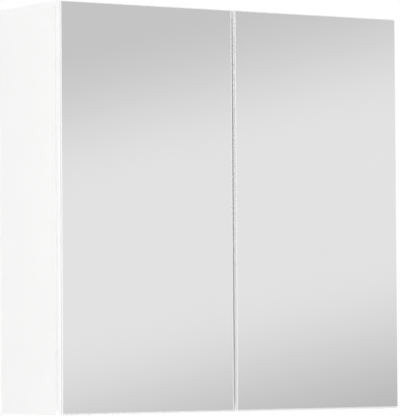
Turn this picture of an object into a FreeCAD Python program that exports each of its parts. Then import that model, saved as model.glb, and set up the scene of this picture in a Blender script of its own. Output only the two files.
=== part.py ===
import FreeCAD, Part
import os
import re

import Sketcher
from FreeCAD import Placement, Rotation, Vector

# A wall-hung bathroom cabinet with two mirror doors.
# Origin: middle of the back face, which lies against the wall.
# X runs along the wall to the right, Y into the wall, Z up. Millimetres.

# Driving sizes: name, value, meaning
SIZES = [
    ("width", 600, "outside width of the cabinet"),
    ("height", 600, "outside height of the cabinet and of its doors"),
    ("carcass_depth", 160, "depth of the sides, top and bottom"),
    ("board", 16, "thickness of the sides, top and bottom"),
    ("back_thick", 3, "thickness of the back panel"),
    ("rebate_width", 8, "how far the back panel is let into each board"),
    ("back_play", 0.3, "gap around the back panel in its rebate"),
    ("nail_radius", 0.8, "shank of the back panel's nails"),
    ("nail_length", 18, "length of the back panel's nails"),
    ("nail_head_radius", 2, "head of the back panel's nails"),
    ("nail_head_thick", 0.8, "thickness of that head, sunk flush"),
    ("nail_pitch", 220, "spacing of the nails along each edge"),
    ("rail_height", 70, "height of the hanging rail"),
    ("rail_thick", 16, "thickness of the hanging rail"),
    ("wall_hole_radius", 4, "holes for the wall screws"),
    ("wall_hole_spacing", 400, "distance between the wall screws"),
    ("wall_hole_drop", 35, "wall screws below the top panel's underside"),
    ("cam_radius", 7.5, "bore for a cam disc"),
    ("cam_depth", 12.5, "depth of that bore"),
    ("cam_setback", 34, "middle of a cam from the end of its board"),
    ("cam_play", 0.15, "gap around a cam and around a bolt's head"),
    ("cap_thick", 1, "cover cap over a cam"),
    ("cam_bolt_radius", 2.5, "shank of a cam bolt"),
    ("cam_bolt_grip", 11, "length of a cam bolt in the side panel"),
    ("bolt_head_radius", 3.5, "head of a cam bolt"),
    ("bolt_head_length", 3, "length of that head"),
    ("bolt_head_past", 2, "how far the head reaches past the cam's middle"),
    ("cam_front", 30, "front cams from the carcass's front edge"),
    ("cam_rear", 45, "rear cams from the back face"),
    ("dowel_radius", 4, "wooden dowel"),
    ("dowel_length", 30, "length of a dowel"),
    ("dowel_grip", 10, "length of a dowel in the side panel"),
    ("dowel_play", 0.05, "radial gap around a dowel"),
    ("dowel_end_play", 0.5, "gap past each end of a dowel"),
    ("dowel_shift", 25, "dowels from their cams, towards the middle"),
    ("rail_dowel_spacing", 40, "distance between the dowels at a rail end"),
    ("shelf_thick", 5, "glass shelf"),
    ("shelf_depth", 125, "depth of a shelf"),
    ("shelf_end_play", 1.6, "gap between a shelf's end and the side panel"),
    ("shelf_back_gap", 4, "gap between a shelf and the back panel"),
    ("shelf_corner", 6, "rounding of a shelf's front corners"),
    ("shelf_step", 3, "shelves above and below the middle, in pin holes"),
    ("pin_hole_count", 9, "pin holes in a row"),
    ("pin_pitch", 32, "spacing of the pin holes"),
    ("pin_row_front", 37, "front row of pin holes from the front edge"),
    ("pin_row_rear", 35, "rear row of pin holes from the back face"),
    ("pin_radius", 2.5, "shelf pin and its hole"),
    ("pin_hole_depth", 9, "depth of a pin hole"),
    ("pin_grip", 8, "length of a pin in its hole"),
    ("collar_radius", 4, "collar of a shelf pin"),
    ("collar_thick", 1.2, "thickness of that collar"),
    ("seat_length", 8, "flat seat of a shelf pin, from its collar"),
    ("seat_width", 7, "width of that seat"),
    ("seat_height", 5, "height of that seat, centred on the pin"),
    ("pad_thick", 0.8, "clear pad between a pin and its shelf"),
    ("door_gap", 1.8, "gap between the carcass and a door"),
    ("door_split", 4, "gap between the two doors"),
    ("door_board", 12, "thickness of a door board"),
    ("hinge_edge_round", 3, "rounding of a door board's rear edge at its hinges"),
    ("grip_bevel", 9, "finger bevel along a door board's rear lower edge"),
    ("film_thick", 0.2, "adhesive film behind a mirror"),
    ("film_inset", 2, "film in from the edge of its mirror"),
    ("glass_thick", 4, "mirror pane"),
    ("glass_inset", 1, "mirror in from the top and side edges of its door board"),
    ("glass_lift", 2.6, "mirror up from the lower edge of its door board"),
    ("glass_arris", 0.7, "ground edge around the mirror's face"),
    ("hinge_inset", 90, "hinges from the cabinet's top and bottom"),
    ("knuckle_in", 6.9, "hinge pin from the door's outer edge"),
    ("knuckle_deep", 7.4, "hinge pin in front of the door's rear face"),
    ("knuckle_radius", 1.25, "hinge pin"),
    ("knuckle_play", 0.05, "running gap around a hinge pin"),
    ("eye_radius", 2.3, "eye of a hinge arm, around its pin"),
    ("cup_edge", 3, "cup bore from the door's outer edge"),
    ("cup_radius", 17.5, "cup bore in a door board"),
    ("cup_depth", 11, "depth of the cup bore"),
    ("cup_play", 0.1, "gap around a cup in its bore"),
    ("cup_wall", 0.6, "sheet of a hinge cup"),
    ("lug_thick", 3, "lugs that hold the pin in a cup"),
    ("lug_play", 0.4, "gap between a lug and the arm's eye"),
    ("flange_thick", 0.8, "flange of a hinge cup"),
    ("flange_back", 8, "flange from the cup's middle towards the door's edge"),
    ("flange_margin", 1, "flange past the cup, above and below"),
    ("cup_screw_offset", 9.5, "cup screws from the cup's middle, away from the edge"),
    ("cup_screw_spacing", 45, "distance between a cup's two screws"),
    ("cup_screw_radius", 1.7, "shank of a cup screw"),
    ("cup_screw_length", 9, "length of a cup screw in the door"),
    ("cup_head_radius", 3.2, "head of a cup screw"),
    ("cup_head_thick", 1.6, "thickness of that head"),
    ("ear_radius", 6, "round end of a cup's flange"),
    ("arm_thick", 2, "sheet of a hinge arm"),
    ("arm_clear", 1.25, "gap between the side panel and the arm's neck"),
    ("neck_width", 8, "width of the arm's neck"),
    ("crank_start", 4, "start of the arm's crank, behind the front edge"),
    ("crank_end", 12, "end of the arm's crank, behind the front edge"),
    ("arm_lift", 8, "web of the arm above the side panel"),
    ("arm_width", 19, "width of the arm behind its crank"),
    ("arm_wall", 1.6, "cheeks of the arm"),
    ("arm_length", 64, "reach of the arm behind the front edge"),
    ("web_start", 3, "full width of the arm behind its crank"),
    ("cheek_trim", 4, "cheeks shorter than the web at each end"),
    ("plate_play", 0.3, "gap between a mounting plate and the arm's cheeks"),
    ("plate_setback", 37, "mounting screws behind the front edge"),
    ("plate_thick", 2, "wings of a mounting plate"),
    ("wing_width", 16, "width of a wing"),
    ("wing_span", 48, "both wings, end to end"),
    ("block_trim", 2, "plate's block shorter than the arm at its rear end"),
    ("plate_screw_spacing", 32, "distance between a plate's two screws"),
    ("plate_screw_radius", 2.5, "shank of a plate screw"),
    ("plate_screw_grip", 11, "length of a plate screw in the side panel"),
    ("plate_head_radius", 4, "head of a plate screw or clamp screw"),
    ("plate_head_thick", 2.2, "thickness of that head"),
    ("clamp_offset", 12, "clamp and adjusting screws either side of the setback"),
    ("clamp_radius", 2, "shank of a clamp screw"),
    ("clamp_grip", 6, "length of a clamp screw in the plate"),
    ("adjuster_radius", 2.5, "adjusting screw"),
    ("adjuster_proud", 1.5, "adjusting screw above the arm's web"),
    ("screw_play", 0.1, "radial gap around a screw in sheet metal"),
    ("catch_width", 54, "housing of the magnetic catch"),
    ("catch_depth", 18, "depth of that housing"),
    ("catch_height", 13, "height of that housing"),
    ("catch_front", 0.2, "front of that housing, past the carcass's edge"),
    ("magnet_width", 14, "magnet of the catch"),
    ("magnet_depth", 10, "depth of a magnet"),
    ("magnet_height", 7, "height of a magnet"),
    ("magnet_proud", 0.3, "magnet in front of its housing"),
    ("magnet_start", 5, "inner edge of a magnet from the middle"),
    ("catch_screw_at", 23, "catch screws from the middle"),
    ("catch_screw_radius", 1.5, "shank of a catch screw"),
    ("catch_screw_grip", 10, "length of a catch screw in the top panel"),
    ("catch_head_radius", 3, "head of a catch screw"),
    ("catch_head_thick", 1.5, "thickness of that head"),
    ("strike_width", 16, "strike plate on a door"),
    ("strike_height", 10, "height of a strike plate"),
    ("strike_thick", 1, "thickness of a strike plate"),
    ("strike_screw_radius", 1.2, "shank of a strike plate's screw"),
    ("strike_screw_grip", 8, "length of that screw in the door"),
    ("strike_head_radius", 2.4, "head of that screw, sunk in the plate"),
    ("strike_head_thick", 0.6, "thickness of that head"),
    ("bumper_radius", 3, "bumper on a door"),
    ("bumper_play", 0.3, "gap between a bumper and the carcass"),
    ("bumper_in", 12, "bumpers from the door's free edge"),
    ("bumper_up", 3.4, "bumpers from the inner faces of the top and bottom"),
]
SIZE_NAMES = {row[0] for row in SIZES}

SIDES = {"left": -1, "right": 1}
LEVELS = {"upper": 1, "lower": -1}
AXES = {"x": Vector(1, 0, 0), "y": Vector(0, 1, 0), "z": Vector(0, 0, 1)}
# Extra reach of a cutting tool past an open face
OVERRUN = 1
# Two lengths closer than this count as the same
SAME = 1e-6

# Formulas in size names that several pieces share
INNER_WIDTH = "(width - 2 * board)"
TOP_UNDERSIDE = "(height / 2 - board)"
DOWEL_BORE = "(dowel_radius + dowel_play)"
BOLT_BORE = "(bolt_head_radius + cam_play)"
DOOR_WIDTH = "((width - door_split) / 2)"
GLASS_REAR = "(door_gap + door_board + film_thick)"
PIN_FORWARD = "(door_gap + knuckle_deep)"
PIN_LENGTH = "(neck_width + 2 * lug_play + 2 * lug_thick)"
PIN_BORE = "(knuckle_radius + knuckle_play)"
CUP_IN = "(cup_edge + cup_radius)"
CUP_BODY_RADIUS = "(cup_radius - cup_play)"
CUP_BODY_DEPTH = "(cup_depth - cup_play)"
NECK_IN = "(board + arm_clear)"
WEB_IN = "(board + arm_lift)"
STRIKE_HEIGHT = f"({TOP_UNDERSIDE} - catch_height / 2)"

doc = FreeCAD.newDocument("mirror_cabinet")
sheet = doc.addObject("Spreadsheet::Sheet", "Sizes")
nodes = []


def fill_sheet():
    """Write the driving sizes to the sheet, one row each."""
    for row, (name, value, meaning) in enumerate(SIZES, start=1):
        sheet.set(f"A{row}", meaning)
        sheet.set(f"B{row}", str(value))
        sheet.setAlias(f"B{row}", name)
    doc.recompute()


def bind(thing, prop, formula):
    """Tie a property to the sheet by a formula written in size names."""
    def cell(word):
        return f"Sizes.{word[0]}" if word[0] in SIZE_NAMES else word[0]

    thing.setExpression(prop, re.sub(r"[a-z_]+", cell, str(formula)))


def place(thing, spot):
    """Tie a thing's place to three formulas."""
    for axis, formula in zip("xyz", spot):
        bind(thing, f"Placement.Base.{axis}", formula)


def box(name, low, size):
    """Box from its lowest corner and its three sizes."""
    solid = doc.addObject("Part::Box", name)
    for prop, formula in zip(("Length", "Width", "Height"), size):
        bind(solid, prop, formula)
    place(solid, low)
    return solid


def rod(name, axis, radius, length, start):
    """Cylinder from its lowest end along X, Y or Z."""
    solid = doc.addObject("Part::Cylinder", name)
    solid.Placement = Placement(Vector(), Rotation(AXES["z"], AXES[axis]))
    bind(solid, "Radius", radius)
    bind(solid, "Height", length)
    place(solid, start)
    return solid


def fuse(name, pieces):
    """One solid from pieces that overlap or touch."""
    joined = doc.addObject("Part::MultiFuse", name)
    joined.Shapes = pieces
    joined.Refine = True
    return joined


def cut(name, base, tools):
    """A piece less all of its tools."""
    rest = doc.addObject("Part::Cut", name)
    rest.Base = base
    rest.Tool = tools[0] if len(tools) == 1 else fuse(f"{name}_tools", tools)
    rest.Refine = True
    return rest


def group(name, pieces):
    """Like pieces kept as separate solids of one node."""
    together = doc.addObject("Part::Compound", name)
    together.Links = pieces
    return together


def node(piece, label):
    """Name a finished sub-part."""
    piece.Label = label
    nodes.append(piece)


def outlined_pad(name, plane_role, points, length, both_ways=False):
    """Body padded from a closed outline, whose corners are formulas."""
    body = doc.addObject("PartDesign::Body", name)
    sketch = body.newObject("Sketcher::SketchObject", f"{name}_outline")
    plane = next(item for item in body.Origin.OriginFeatures if item.Role == plane_role)
    sketch.AttachmentSupport = [(plane, "")]
    sketch.MapMode = "FlatFace"
    count = len(points)
    for index in range(count):
        # A rough start: the corners move to their formulas once they are tied
        sketch.addGeometry(Part.LineSegment(Vector(index, index**2), Vector(index + 1, (index + 1)**2)))
    for index in range(count):
        sketch.addConstraint(Sketcher.Constraint("Coincident", index, 2, (index + 1) % count, 1))
    for index, corner in enumerate(points):
        for kind, formula in zip(("DistanceX", "DistanceY"), corner):
            tie = sketch.addConstraint(Sketcher.Constraint(kind, -1, 1, index, 1, 1.0))
            bind(sketch, f"Constraints[{tie}]", formula)
    pad = body.newObject("PartDesign::Pad", f"{name}_pad")
    pad.Profile = sketch
    pad.SideType = "Symmetric" if both_ways else "One side"
    bind(pad, "Length", length)
    doc.recompute()
    return body, pad


def edges_where(feature, test):
    """Names of a feature's edges whose middle point passes a test."""
    return [
        f"Edge{number}"
        for number, edge in enumerate(feature.Shape.Edges, start=1)
        if test(edge, edge.CenterOfMass)
    ]


def dress(body, kind, name, base, edges, prop, size):
    """Fillet or chamfer on a body's edges."""
    feature = body.newObject(f"PartDesign::{kind}", name)
    feature.Base = (base, edges)
    bind(feature, prop, size)
    doc.recompute()
    return feature


def from_side(side, inward):
    """X of a line that lies inward of the outer face on one side."""
    return f"({side} * (width / 2 - ({inward})))"


def low_from_side(side, inward, length):
    """Lowest X of a span that starts inward of the outer face and runs to the middle."""
    if side < 0:
        return f"(({inward}) - width / 2)"
    return f"(width / 2 - ({inward}) - ({length}))"


def ahead(distance):
    """Y of a plane in front of the carcass's front edge."""
    return f"(-carcass_depth - ({distance}))"


def hinge_height(level):
    """Z of the upper or lower hinges."""
    return f"({level} * (height / 2 - hinge_inset))"


def hinge_box(name, side, level, inward, forward, tall, middle="0"):
    """Box at a hinge: spans (start, size) inward and forward, centred on the hinge's height."""
    low = (
        low_from_side(side, *inward),
        ahead(f"({forward[0]}) + ({forward[1]})"),
        f"{hinge_height(level)} + {middle} - ({tall}) / 2",
    )
    return box(name, low, (inward[1], forward[1], tall))


def side_rod(name, side, radius, inward, length, y, z):
    """Cylinder along X that starts inward of one side's outer face."""
    return rod(name, "x", radius, length, (low_from_side(side, inward, length), y, z))


# Carcass


def back_rebate(name):
    """Space that the back panel is let into."""
    across = "(width - 2 * board + 2 * rebate_width)"
    up = "(height - 2 * board + 2 * rebate_width)"
    return box(
        f"{name}_rebate",
        (f"-{across} / 2", "-back_thick", f"-{up} / 2"),
        (across, f"back_thick + {OVERRUN}", up),
    )


def nail_spots():
    """Edge name, X and Z of each nail of the back panel."""
    across = "(width / 2 - board + rebate_width / 2)"
    up = "(height / 2 - board + rebate_width / 2)"
    spots = []
    for step in (-1, 0, 1):
        along = f"{step} * nail_pitch"
        spots += [("left", f"-{across}", along), ("right", across, along)]
        spots += [("lower", along, f"-{up}"), ("upper", along, up)]
    return spots


def nail_holes(name, edge):
    """Holes for the nails in one board's rear edge."""
    return [
        rod(f"{name}_nail_hole", "y", "nail_radius", f"nail_length + {OVERRUN}", (x, "-nail_length", z))
        for spot_edge, x, z in nail_spots()
        if spot_edge == edge
    ]


def corner_lines():
    """Y of the two cams and of the two dowels at each corner."""
    cams = ["cam_front - carcass_depth", "-cam_rear"]
    dowels = ["cam_front + dowel_shift - carcass_depth", "-cam_rear - dowel_shift"]
    return cams, dowels


def corner_height(level):
    """Z of the middle of the top or bottom board."""
    return f"({level} * (height / 2 - board / 2))"


def shelf_pin_rows():
    """Y of the two rows of shelf pins."""
    return ["pin_row_front - carcass_depth", "-pin_row_rear"]


def rail_middle():
    """Y and Z of the hanging rail's middle."""
    return "-(back_thick + rail_thick / 2)", f"({TOP_UNDERSIDE} - rail_height / 2)"


def rail_dowel_heights():
    """Z of the two dowels at each end of the hanging rail."""
    return [f"{rail_middle()[1]} + {step} * rail_dowel_spacing / 2" for step in (-1, 1)]


def dowel_hole_in_side(name, side, y, z):
    """Blind hole for a dowel in a side panel's inner face."""
    depth = "(dowel_grip + dowel_end_play)"
    return side_rod(name, side, DOWEL_BORE, f"board - {depth}", f"{depth} + {OVERRUN}", y, z)


def dowel_hole_in_end(name, side, y, z):
    """Blind hole for a dowel in the end of a board between the sides."""
    depth = f"(dowel_length - dowel_grip + dowel_end_play + {OVERRUN})"
    return side_rod(name, side, DOWEL_BORE, f"board - {OVERRUN}", depth, y, z)


def side_panel(side_name, side):
    """Side panel with its rebate, pin rows and holes for the fittings."""
    name = f"side_panel_{side_name}"
    low = (low_from_side(side, "0", "board"), "-carcass_depth", "-height / 2")
    panel = box(f"{name}_board", low, ("board", "carcass_depth", "height"))
    tools = [back_rebate(name)] + nail_holes(name, side_name)
    cams, dowels = corner_lines()
    for level in LEVELS.values():
        z = corner_height(level)
        for y in cams:
            start, length = "board - cam_bolt_grip", f"cam_bolt_grip + {OVERRUN}"
            tools.append(side_rod(f"{name}_bolt_hole", side, "cam_bolt_radius", start, length, y, z))
        tools += [dowel_hole_in_side(f"{name}_dowel_hole", side, y, z) for y in dowels]
        for step in (-1, 1):
            tools.append(plate_screw_hole(name, side, level, step))
    rail_y, _ = rail_middle()
    tools += [dowel_hole_in_side(f"{name}_rail_hole", side, rail_y, z) for z in rail_dowel_heights()]
    first = (int(sheet.get("pin_hole_count")) - 1) / 2
    for y in shelf_pin_rows():
        for index in range(int(sheet.get("pin_hole_count"))):
            start, length = "board - pin_hole_depth", f"pin_hole_depth + {OVERRUN}"
            z = f"{index - first} * pin_pitch"
            tools.append(side_rod(f"{name}_pin_hole", side, "pin_radius", start, length, y, z))
    node(cut(name, panel, tools), name)


def cross_panel(label, level_name, level, more_tools):
    """Top or bottom panel between the sides, with bores for its fittings."""
    low_z = TOP_UNDERSIDE if level > 0 else "-height / 2"
    size = (INNER_WIDTH, "carcass_depth", "board")
    panel = box(f"{label}_board", (f"-{INNER_WIDTH} / 2", "-carcass_depth", low_z), size)
    tools = [back_rebate(label)] + nail_holes(label, level_name) + more_tools
    cams, dowels = corner_lines()
    z = corner_height(level)
    bore_z = "height / 2 - cam_depth" if level > 0 else f"-height / 2 - {OVERRUN}"
    for side in SIDES.values():
        for y in cams:
            spot = (from_side(side, "board + cam_setback"), y, bore_z)
            tools.append(rod(f"{label}_cam_bore", "z", "cam_radius", f"cam_depth + {OVERRUN}", spot))
            start, length = f"board - {OVERRUN}", f"cam_setback + {OVERRUN}"
            tools.append(side_rod(f"{label}_bolt_hole", side, BOLT_BORE, start, length, y, z))
        tools += [dowel_hole_in_end(f"{label}_dowel_hole", side, y, z) for y in dowels]
    node(cut(label, panel, tools), label)


def wall_hole(name, side, start, length):
    """Hole for a wall screw, along Y."""
    x = f"{side} * wall_hole_spacing / 2"
    return rod(name, "y", "wall_hole_radius", length, (x, start, f"{TOP_UNDERSIDE} - wall_hole_drop"))


def back_panel():
    """Back panel in its rebate, with holes for wall screws and sunk nail heads."""
    across = "(width - 2 * board + 2 * rebate_width - 2 * back_play)"
    up = "(height - 2 * board + 2 * rebate_width - 2 * back_play)"
    low = (f"-{across} / 2", "-back_thick", f"-{up} / 2")
    panel = box("back_panel_sheet", low, (across, "back_thick", up))
    tools = []
    for side in SIDES.values():
        start, length = f"-back_thick - {OVERRUN}", f"back_thick + {2 * OVERRUN}"
        tools.append(wall_hole("back_wall_hole", side, start, length))
    hole_depth, sink_depth = f"back_thick + {OVERRUN}", f"nail_head_thick + {OVERRUN}"
    for _, x, z in nail_spots():
        tools.append(rod("back_nail_hole", "y", "nail_radius", hole_depth, (x, "-back_thick", z)))
        start = (x, "-nail_head_thick", z)
        tools.append(rod("back_nail_sink", "y", "nail_head_radius", sink_depth, start))
    node(cut("back_panel", panel, tools), "back_panel")


def back_nails():
    """Nails of the back panel, heads flush with the back face."""
    nails = []
    for _, x, z in nail_spots():
        shank = rod("nail_shank", "y", "nail_radius", "nail_length", (x, "-nail_length", z))
        head = rod("nail_head", "y", "nail_head_radius", "nail_head_thick", (x, "-nail_head_thick", z))
        nails.append(fuse("nail", [shank, head]))
    node(group("back_nails", nails), "back_nails")


def hanging_rail():
    """Rail under the top panel that the wall screws go through."""
    low = (f"-{INNER_WIDTH} / 2", "-back_thick - rail_thick", f"{TOP_UNDERSIDE} - rail_height")
    rail = box("rail_board", low, (INNER_WIDTH, "rail_thick", "rail_height"))
    tools = []
    for side in SIDES.values():
        start = f"-back_thick - rail_thick - {OVERRUN}"
        tools.append(wall_hole("rail_wall_hole", side, start, f"rail_thick + {2 * OVERRUN}"))
        for z in rail_dowel_heights():
            tools.append(dowel_hole_in_end("rail_dowel_hole", side, rail_middle()[0], z))
    node(cut("hanging_rail", rail, tools), "hanging_rail")


def dowel(name, side, y, z):
    """Wooden dowel along X, from a side panel into a board's end."""
    return side_rod(name, side, "dowel_radius", "board - dowel_grip", "dowel_length", y, z)


def dowels():
    """Dowels of the four corners, and of the hanging rail."""
    corner = []
    rail = []
    for side in SIDES.values():
        for level in LEVELS.values():
            corner += [dowel("corner_dowel", side, y, corner_height(level)) for y in corner_lines()[1]]
        rail += [dowel("rail_dowel", side, rail_middle()[0], z) for z in rail_dowel_heights()]
    node(group("corner_dowels", corner), "corner_dowels")
    node(group("rail_dowels", rail), "rail_dowels")


def cam_disc(side, level, y):
    """Cam disc in its bore, hollow around the bolt's head."""
    low_z = "height / 2 - cam_depth" if level > 0 else "-height / 2 + cap_thick"
    spot = (from_side(side, "board + cam_setback"), y, low_z)
    disc = rod("cam_blank", "z", "cam_radius - cam_play", "cam_depth - cap_thick", spot)
    start, length = "board + cam_setback - cam_radius", "cam_radius + bolt_head_past + cam_play"
    hollow = side_rod("cam_hollow", side, BOLT_BORE, start, length, y, corner_height(level))
    return cut("cam_disc", disc, [hollow])


def cam_bolt(side, level, y):
    """Bolt from a side panel to the middle of its cam."""
    z = corner_height(level)
    length = "cam_bolt_grip + cam_setback + bolt_head_past"
    shank = side_rod("bolt_shank", side, "cam_bolt_radius", "board - cam_bolt_grip", length, y, z)
    start = "board + cam_setback + bolt_head_past - bolt_head_length"
    head = side_rod("bolt_head", side, "bolt_head_radius", start, "bolt_head_length", y, z)
    return fuse("cam_bolt", [shank, head])


def cam_cap(side, level, y):
    """Cover cap flush with the board's outer face."""
    low_z = "height / 2 - cap_thick" if level > 0 else "-height / 2"
    spot = (from_side(side, "board + cam_setback"), y, low_z)
    return rod("cam_cap", "z", "cam_radius - cam_play", "cap_thick", spot)


def corner_fittings():
    """Cams, bolts and caps of the four corners."""
    corners = [(side, level) for side in SIDES.values() for level in LEVELS.values()]
    spots = [(*corner, y) for corner in corners for y in corner_lines()[0]]
    node(group("cam_discs", [cam_disc(*spot) for spot in spots]), "cam_discs")
    node(group("cam_bolts", [cam_bolt(*spot) for spot in spots]), "cam_bolts")
    node(group("cam_caps", [cam_cap(*spot) for spot in spots]), "cam_caps")


# Shelves


def shelf(level_name, level):
    """Glass shelf with rounded front corners, resting on its pads."""
    label = f"shelf_{level_name}"
    half = f"({INNER_WIDTH} / 2 - shelf_end_play)"
    back = "-(back_thick + shelf_back_gap)"
    front = f"({back} - shelf_depth)"
    corners = [(f"-{half}", front), (half, front), (half, back), (f"-{half}", back)]
    body, pad = outlined_pad(label, "XY_Plane", corners, "shelf_thick")
    front_y = pad.Shape.BoundBox.YMin
    height = float(sheet.get("shelf_thick"))

    def upright_at_front(edge, mid):
        return abs(mid.y - front_y) < SAME and abs(edge.Length - height) < SAME

    edges = edges_where(pad, upright_at_front)
    dress(body, "Fillet", f"{label}_corners", pad, edges, "Radius", "shelf_corner")
    bind(body, "Placement.Base.z", f"{level} * shelf_step * pin_pitch + seat_height / 2 + pad_thick")
    node(body, label)


def shelf_supports():
    """Pins in the side panels, and the clear pads on them."""
    pins = []
    pads = []
    for side in SIDES.values():
        for level in LEVELS.values():
            z = f"{level} * shelf_step * pin_pitch"
            for y in shelf_pin_rows():
                shank = side_rod("pin_shank", side, "pin_radius", "board - pin_grip", "pin_grip", y, z)
                collar = side_rod("pin_collar", side, "collar_radius", "board", "collar_thick", y, z)
                start = low_from_side(side, "board + collar_thick", "seat_length")
                seat_low = (start, f"{y} - seat_width / 2", f"{z} - seat_height / 2")
                seat = box("pin_seat", seat_low, ("seat_length", "seat_width", "seat_height"))
                pins.append(fuse("shelf_pin", [shank, collar, seat]))
                pad_low = (start, f"{y} - seat_width / 2", f"{z} + seat_height / 2")
                pads.append(box("shelf_pad", pad_low, ("seat_length", "seat_width", "pad_thick")))
    node(group("shelf_pins", pins), "shelf_pins")
    node(group("shelf_pads", pads), "shelf_pads")


# Hinges


def plate_screw_height(level, step):
    """Z of one of a mounting plate's two screws."""
    return f"{hinge_height(level)} + {step} * plate_screw_spacing / 2"


def plate_screw_hole(name, side, level, step):
    """Hole for a mounting plate's screw in a side panel."""
    start, length = "board - plate_screw_grip", f"plate_screw_grip + {OVERRUN}"
    y, z = "plate_setback - carcass_depth", plate_screw_height(level, step)
    return side_rod(f"{name}_plate_hole", side, "plate_screw_radius", start, length, y, z)


def clamp_line(step):
    """Y of the clamp screw (1) or of the adjusting screw (-1) of an arm."""
    return f"plate_setback + {step} * clamp_offset - carcass_depth"


def hinge_plate(label, side, level):
    """Mounting plate: a block under the arm and two wings screwed to the side panel."""
    wing_forward = ("-plate_setback - wing_width / 2", "wing_width")
    wings = hinge_box(f"{label}_wings", side, level, ("board", "plate_thick"), wing_forward, "wing_span")
    reach = "(arm_length - block_trim - crank_end - web_start)"
    block_width = "arm_width - 2 * arm_wall - 2 * plate_play"
    block_forward = ("block_trim - arm_length", reach)
    block = hinge_box(f"{label}_block", side, level, ("board", "arm_lift"), block_forward, block_width)
    tools = []
    for step in (-1, 1):
        y, z = "plate_setback - carcass_depth", plate_screw_height(level, step)
        radius, length = "plate_screw_radius + screw_play", f"plate_thick + {2 * OVERRUN}"
        tools.append(side_rod(f"{label}_hole", side, radius, f"board - {OVERRUN}", length, y, z))
    start, length = f"{WEB_IN} - clamp_grip", f"clamp_grip + {OVERRUN}"
    y, z = clamp_line(1), hinge_height(level)
    tools.append(side_rod(f"{label}_thread", side, "clamp_radius", start, length, y, z))
    node(cut(label, fuse(f"{label}_blank", [wings, block]), tools), label)


def arm_outline(side):
    """Side outline of an arm: neck in the cup, run past the door's edge, crank and web."""
    half = "arm_thick / 2"
    points = [
        ("knuckle_in", f"{PIN_FORWARD} + {half}"),
        (f"{NECK_IN} + arm_thick", f"{PIN_FORWARD} + {half}"),
        (f"{NECK_IN} + arm_thick", "-crank_start"),
        (f"{WEB_IN} + arm_thick", "-crank_end"),
        (f"{WEB_IN} + arm_thick", "-arm_length"),
        (WEB_IN, "-arm_length"),
        (WEB_IN, f"-crank_end - {half}"),
        (NECK_IN, f"-crank_start - {half}"),
        (NECK_IN, f"{PIN_FORWARD} - {half}"),
        ("knuckle_in", f"{PIN_FORWARD} - {half}"),
    ]
    return [(from_side(side, inward), ahead(forward)) for inward, forward in points]


def hinge_arm(label, side, level):
    """Hinge arm: neck with its eye around the pin, and a wider channel over the plate."""
    neck, _ = outlined_pad(f"{label}_neck", "XY_Plane", arm_outline(side), "neck_width", both_ways=True)
    bind(neck, "Placement.Base.z", hinge_height(level))
    low_z = f"{hinge_height(level)} - neck_width / 2"
    spot = (from_side(side, "knuckle_in"), ahead(PIN_FORWARD), low_z)
    eye = rod(f"{label}_eye", "z", "eye_radius", "neck_width", spot)
    web_reach = "(arm_length - crank_end - web_start)"
    web_forward = ("-arm_length", web_reach)
    web = hinge_box(f"{label}_web", side, level, (WEB_IN, "arm_thick"), web_forward, "arm_width")
    pieces = [neck, eye, web]
    for step in (-1, 1):
        depth = "(arm_lift - plate_thick - plate_play)"
        inward = (f"{WEB_IN} - {depth}", depth)
        forward = ("cheek_trim - arm_length", f"{web_reach} - 2 * cheek_trim")
        middle = f"{step} * (arm_width - arm_wall) / 2"
        pieces.append(hinge_box(f"{label}_cheek", side, level, inward, forward, "arm_wall", middle))
    tools = [rod(f"{label}_bore", "z", PIN_BORE, "neck_width", spot)]
    for step, radius in ((1, "clamp_radius"), (-1, "adjuster_radius")):
        start, length = f"{WEB_IN} - {OVERRUN}", f"arm_thick + {2 * OVERRUN}"
        y, z = clamp_line(step), hinge_height(level)
        tools.append(side_rod(f"{label}_hole", side, f"{radius} + screw_play", start, length, y, z))
    node(cut(label, fuse(f"{label}_blank", pieces), tools), label)


def hinge_screws():
    """Screws of the mounting plates, and clamp and adjusting screws of the arms."""
    plate_screws = []
    clamps = []
    adjusters = []
    for side in SIDES.values():
        for level in LEVELS.values():
            for step in (-1, 1):
                y, z = "plate_setback - carcass_depth", plate_screw_height(level, step)
                start, length = "board - plate_screw_grip", "plate_screw_grip + plate_thick"
                shank = side_rod("plate_shank", side, "plate_screw_radius", start, length, y, z)
                start = "board + plate_thick"
                head = side_rod("plate_head", side, "plate_head_radius", start, "plate_head_thick", y, z)
                plate_screws.append(fuse("plate_screw", [shank, head]))
            y, z = clamp_line(1), hinge_height(level)
            start, length = f"{WEB_IN} - clamp_grip", "clamp_grip + arm_thick"
            shank = side_rod("clamp_shank", side, "clamp_radius", start, length, y, z)
            start = f"{WEB_IN} + arm_thick"
            head = side_rod("clamp_head", side, "plate_head_radius", start, "plate_head_thick", y, z)
            clamps.append(fuse("clamp_screw", [shank, head]))
            y, length = clamp_line(-1), "arm_thick + adjuster_proud"
            adjusters.append(side_rod("adjuster", side, "adjuster_radius", WEB_IN, length, y, z))
    node(group("hinge_plate_screws", plate_screws), "hinge_plate_screws")
    node(group("hinge_clamp_screws", clamps), "hinge_clamp_screws")
    node(group("hinge_adjusters", adjusters), "hinge_adjusters")


def cup_rod(name, side, level, radius, start, length):
    """Cylinder along Y on a hinge cup's axis."""
    spot = (from_side(side, CUP_IN), ahead(f"{start} + {length}"), hinge_height(level))
    return rod(name, "y", radius, length, spot)


def cup_screw_spots(side, level):
    """X and Z of a cup's two screws."""
    x = from_side(side, f"{CUP_IN} + cup_screw_offset")
    return [(x, f"{hinge_height(level)} + {step} * cup_screw_spacing / 2") for step in (-1, 1)]


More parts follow.
